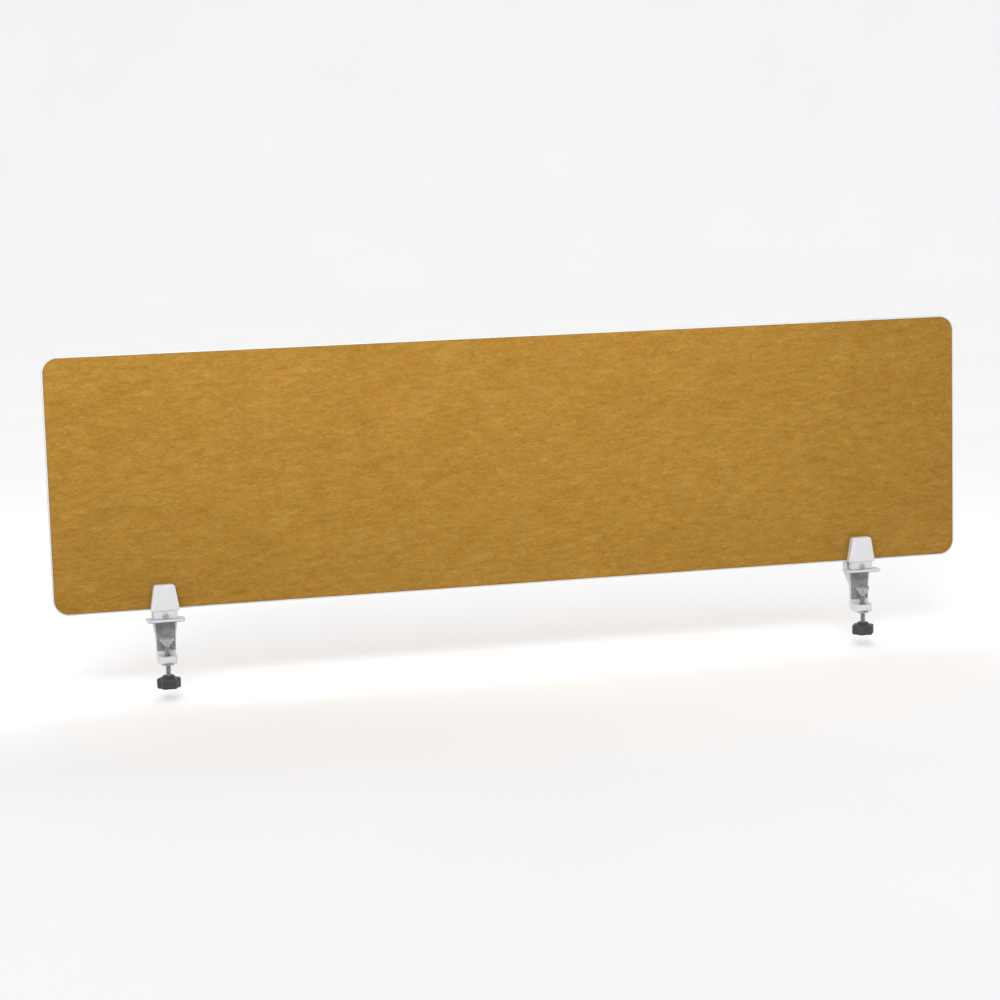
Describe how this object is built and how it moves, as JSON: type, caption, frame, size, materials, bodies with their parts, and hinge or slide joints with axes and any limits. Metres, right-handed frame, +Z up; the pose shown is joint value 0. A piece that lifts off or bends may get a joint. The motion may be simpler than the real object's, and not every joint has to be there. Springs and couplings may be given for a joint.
{
  "type": "desk privacy panel",
  "caption": "Long felt-faced screen with rounded corners and a pale edge trim, held upright along a desk's rear edge by screw clamps with tapered jaws.",
  "frame": {"origin": "on the rear top edge of the desk that the clamps grip, midway between the two clamps", "axes": "+X along the panel to the right of a person at the desk, +Y away from that person, +Z up"},
  "size_m": [1.49, 0.0584, 0.5213],
  "materials": {
    "felt": "matted polyester felt, mustard, fine streaky fibres",
    "trim": "smooth pale PVC",
    "fibreboard": "raw fibreboard",
    "white_paint": "fine satin powder coat",
    "zinc": "bright zinc plate",
    "rubber": "matte grey rubber",
    "knob_plastic": "fine moulded grain"
  },
  "bodies": {
    "panel_and_brackets": {"panel_core": "fibreboard", "front_felt": "felt", "rear_felt": "felt", "edge_trim": "trim", "left_bracket": "white_paint", "left_seat_pad": "rubber", "left_edge_pad": "rubber", "left_rear_jaw_pad": "rubber", "left_clamp_bush": "zinc", "right_bracket": "white_paint", "right_seat_pad": "rubber", "right_edge_pad": "rubber", "right_rear_jaw_pad": "rubber", "right_clamp_bush": "zinc"},
    "left_foot_carriage": {"left_pressure_foot": "zinc", "left_foot_pad": "rubber"},
    "left_clamp_spindle": {"left_clamp_screw": "zinc", "left_retaining_clip": "zinc", "left_knob": "knob_plastic", "left_knob_cap": "knob_plastic"},
    "left_jaw": {"left_front_jaw": "white_paint", "left_front_jaw_pad": "rubber"},
    "left_jaw_spindle": {"left_jaw_screw": "zinc"},
    "right_foot_carriage": {"right_pressure_foot": "zinc", "right_foot_pad": "rubber"},
    "right_clamp_spindle": {"right_clamp_screw": "zinc", "right_retaining_clip": "zinc", "right_knob": "knob_plastic", "right_knob_cap": "knob_plastic"},
    "right_jaw": {"right_front_jaw": "white_paint", "right_front_jaw_pad": "rubber"},
    "right_jaw_spindle": {"right_jaw_screw": "zinc"}
  },
  "joints": [
    {"name": "left_foot_travel", "type": "slide", "parent": "panel_and_brackets", "child": "left_foot_carriage", "axis": [0, 0, 1], "range_m": [-0.015, 0.013]},
    {"name": "left_clamp_screw_turn", "type": "hinge", "parent": "left_foot_carriage", "child": "left_clamp_spindle", "pos_m": [-0.575, -0.0135, -0.096], "axis": [0, 0, 1], "range_deg": [-4320, 3744]},
    {"name": "left_jaw_travel", "type": "slide", "parent": "panel_and_brackets", "child": "left_jaw", "axis": [0, -1, 0], "range_m": [0, 0.004]},
    {"name": "left_jaw_screw_turn", "type": "hinge", "parent": "left_jaw", "child": "left_jaw_spindle", "pos_m": [-0.575, -0.0118, 0.0082], "axis": [0, -1, 0], "range_deg": [0, 1800]},
    {"name": "right_foot_travel", "type": "slide", "parent": "panel_and_brackets", "child": "right_foot_carriage", "axis": [0, 0, 1], "range_m": [-0.015, 0.013]},
    {"name": "right_clamp_screw_turn", "type": "hinge", "parent": "right_foot_carriage", "child": "right_clamp_spindle", "pos_m": [0.575, -0.0135, -0.096], "axis": [0, 0, 1], "range_deg": [-4320, 3744]},
    {"name": "right_jaw_travel", "type": "slide", "parent": "panel_and_brackets", "child": "right_jaw", "axis": [0, -1, 0], "range_m": [0, 0.004]},
    {"name": "right_jaw_screw_turn", "type": "hinge", "parent": "right_jaw", "child": "right_jaw_spindle", "pos_m": [0.575, -0.0118, 0.0082], "axis": [0, -1, 0], "range_deg": [0, 1800]}
  ],
  "couplings": [
    {"joint": "left_clamp_screw_turn", "follows": "left_foot_travel", "rad_per_m": 5026.5},
    {"joint": "left_jaw_screw_turn", "follows": "left_jaw_travel", "rad_per_m": 7854},
    {"joint": "right_clamp_screw_turn", "follows": "right_foot_travel", "rad_per_m": 5026.5},
    {"joint": "right_jaw_screw_turn", "follows": "right_jaw_travel", "rad_per_m": 7854}
  ]
}
